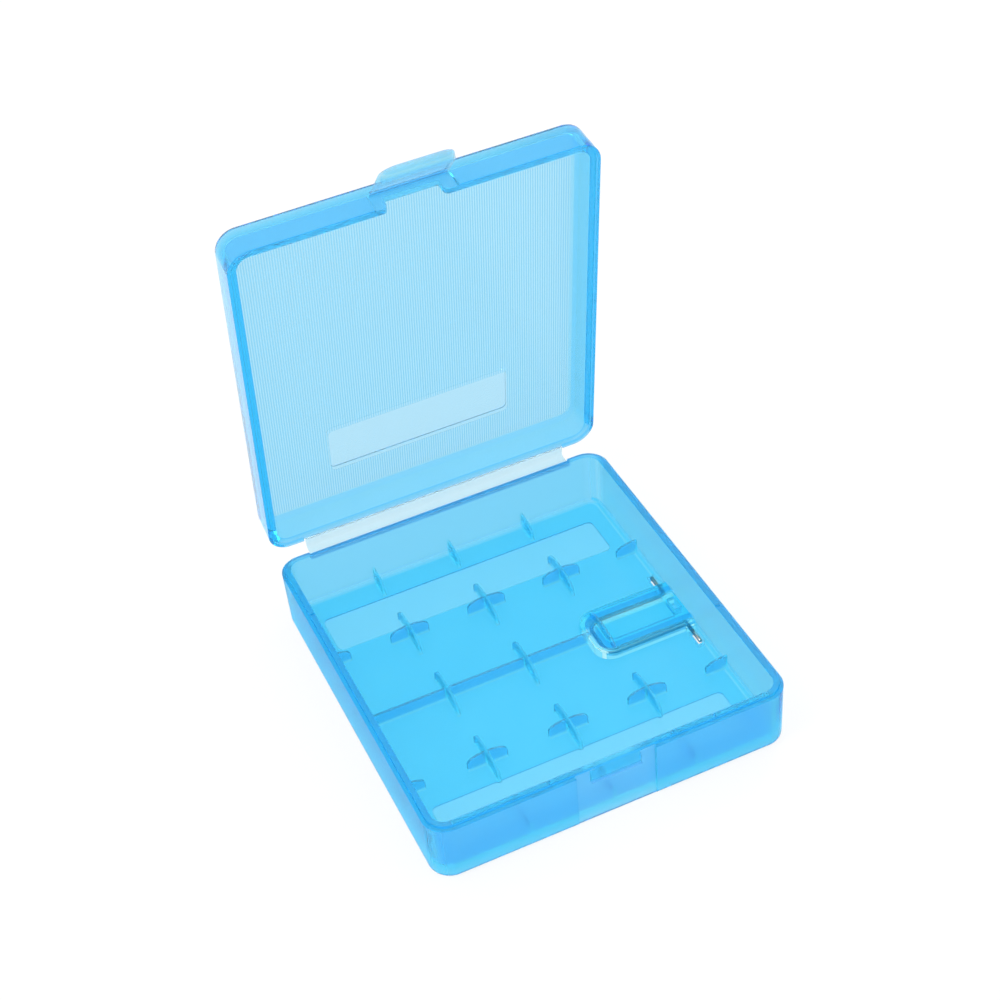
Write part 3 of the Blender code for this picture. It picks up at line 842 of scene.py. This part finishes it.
# Painted shade on the wire's ends.
mark(bail, "ends", lambda c, n: abs(c.y) > 5.6)
paint(tray, tray_mat)
paint(flap, lid_mat)
paint(strap, strap_mat)
paint(film, lid_mat)
paint(bail, wire_mat)

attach(tray, "tray")
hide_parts("tray_shell")
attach(lid, "lid")
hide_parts("lid_shell")
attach(flap, "latch")
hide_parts("latch_flap")
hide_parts("hinge_leaf_tray", "hinge_leaf_lid")
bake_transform(strap)
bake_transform(film)
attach(bail, "bail")
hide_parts("wire_bail")

# Floor, light and camera


def make_floor():
    """White floor that glows to the camera and through the plastic, so that it stays white in the picture."""
    half_width, drop = 3.0, 0.02 * mm
    bm = bmesh.new()
    bmesh.ops.create_grid(bm, x_segments=1, y_segments=1, size=half_width)
    for vertex in bm.verts:
        vertex.co.z = -drop
    ground = make("ground", bm)
    material, tree, shader = nodes_of("ground_white")
    shader.inputs["Base Color"].default_value = (0.96, 0.96, 0.96, 1)
    shader.inputs["Roughness"].default_value = 0.9
    glow = node(tree, "ShaderNodeEmission", Strength=1.0)
    rays = node(tree, "ShaderNodeLightPath")
    mix = node(tree, "ShaderNodeMixShader")
    part = node(tree, "ShaderNodeMath", operation="MULTIPLY")
    part.inputs[1].default_value = 0.85
    link(tree, rays, "Is Camera Ray", part, 0)
    either = node(tree, "ShaderNodeMath", operation="MAXIMUM")
    link(tree, part, "Value", either, 0)
    link(tree, rays, "Is Transmission Ray", either, 1)
    link(tree, either, "Value", mix, 0)
    tree.links.new(shader.outputs[0], mix.inputs[1])
    tree.links.new(glow.outputs[0], mix.inputs[2])
    tree.links.new(mix.outputs[0], tree.nodes["Material Output"].inputs["Surface"])
    paint(ground, material)


def make_world():
    """Plain white surroundings, as bright to the camera as to the object."""
    world = bpy.data.worlds.new("studio")
    bpy.context.scene.world = world
    world.use_nodes = True
    tree = world.node_tree
    back = tree.nodes["Background"]
    back.inputs["Color"].default_value = (1, 1, 1, 1)
    back.inputs["Strength"].default_value = 1.0
    bright = node(tree, "ShaderNodeBackground", Color=(1, 1, 1, 1), Strength=1.0)
    rays = node(tree, "ShaderNodeLightPath")
    mix = node(tree, "ShaderNodeMixShader")
    link(tree, rays, "Is Camera Ray", mix, 0)
    tree.links.new(back.outputs[0], mix.inputs[1])
    tree.links.new(bright.outputs[0], mix.inputs[2])
    tree.links.new(mix.outputs[0], tree.nodes["World Output"].inputs["Surface"])


def lamp(name, place, size, power):
    """Rectangular lamp aimed at the middle of the object."""
    aim = (0, 0, 0.03)
    data = bpy.data.lights.new(name, "AREA")
    data.shape = "RECTANGLE"
    data.size, data.size_y = size
    data.energy = power
    thing = bpy.data.objects.new(name, data)
    bpy.context.scene.collection.objects.link(thing)
    thing.location = place
    thing.rotation_euler = (Vector(aim) - Vector(place)).to_track_quat("-Z", "Y").to_euler()


def make_camera():
    """Camera where the photograph was taken from."""
    turn = Vector((2.2346, -0.5310, 0.1346))
    r = Matrix.Rotation(turn.length, 3, turn.normalized())
    place = Matrix((r[0], -r[1], -r[2])).transposed().to_4x4()
    place.translation = Vector((-0.10362, -0.26731, 0.30052))
    data = bpy.data.cameras.new("camera")
    data.sensor_width = 36.0
    data.lens = 72.3
    data.clip_start = 0.01
    thing = bpy.data.objects.new("camera", data)
    bpy.context.scene.collection.objects.link(thing)
    thing.matrix_world = place
    bpy.context.scene.camera = thing


make_floor()
make_world()
lamp("key", place=(-0.45, -0.10, 0.60), size=(0.12, 0.5), power=1.6)
lamp("rim", place=(0.45, 0.35, 0.45), size=(0.1, 0.4), power=0.8)
make_camera()
bpy.context.scene.view_settings.view_transform = "Standard"
bpy.context.scene.cycles.max_bounces = 20
bpy.context.scene.cycles.glossy_bounces = 12
bpy.context.scene.cycles.transmission_bounces = 16
bpy.context.scene.cycles.transparent_max_bounces = 24
